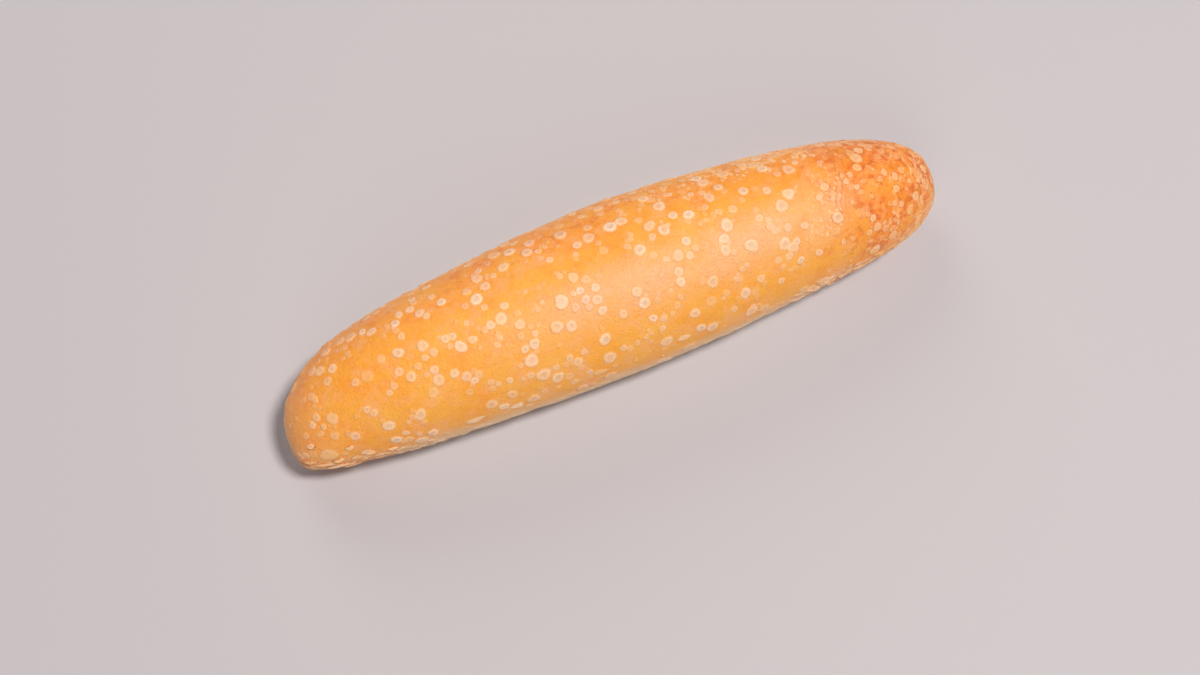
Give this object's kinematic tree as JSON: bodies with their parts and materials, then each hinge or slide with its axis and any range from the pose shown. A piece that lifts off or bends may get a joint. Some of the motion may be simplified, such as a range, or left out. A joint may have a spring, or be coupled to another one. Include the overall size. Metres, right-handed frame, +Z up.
{
  "type": "rohlik bread roll",
  "caption": "Straight bread roll with rounded ends, a smooth golden crust with low pale blisters, and a flat base to rest on.",
  "frame": {"origin": "middle of the bounding box's bottom, on the surface that the roll rests on", "axes": "+X along the roll, towards its slimmer end; +Y across it; +Z up"},
  "size_m": [0.2, 0.0488, 0.0387],
  "materials": {
    "golden_crust": "satin"
  },
  "bodies": {
    "root": {"bread_roll": "golden_crust"}
  },
  "joints": []
}
